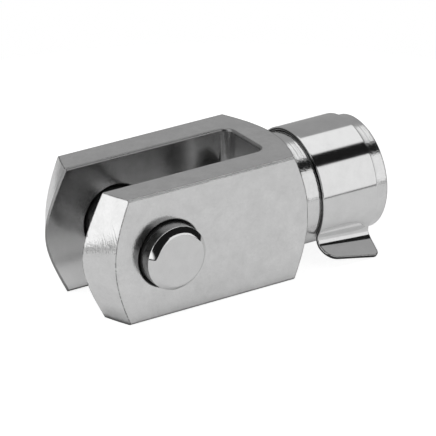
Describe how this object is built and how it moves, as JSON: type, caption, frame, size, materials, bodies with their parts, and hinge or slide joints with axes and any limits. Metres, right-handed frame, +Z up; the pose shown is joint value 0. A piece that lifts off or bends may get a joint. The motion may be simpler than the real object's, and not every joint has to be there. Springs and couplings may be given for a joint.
{
  "type": "clevis rod end",
  "caption": "Square fork head with a tapped round neck and a spring clip pin that swings on and off the neck, for joining a rod to a lever eye.",
  "frame": {"origin": "where the pin's axis crosses the rod's axis", "axes": "+X along the rod's axis from the fork's tip to the threaded neck, +Y along the pin from its chamfered nose to the clip's arm, +Z up, square to both, towards the crown of the clip's wrap"},
  "size_m": [0.052, 0.0247, 0.0201],
  "materials": {
    "fork_steel": "bright zinc-plated, fine drawn grain on the flats and turning marks on the cones",
    "pin_steel": "bright zinc-plated, turned",
    "clip_steel": "bright rolled spring strip, mirror-like, with darker sheared edges"
  },
  "bodies": {
    "clevis": {"clevis_body": "fork_steel"},
    "clip_pin": {"pin": "pin_steel", "spring_clip": "clip_steel"}
  },
  "joints": [
    {"name": "clip_swing", "type": "hinge", "parent": "clevis", "child": "clip_pin", "pos_m": [0, 0, 0], "axis": [0, -1, 0], "range_deg": [0, 320], "deforming": ["spring_clip"]}
  ]
}
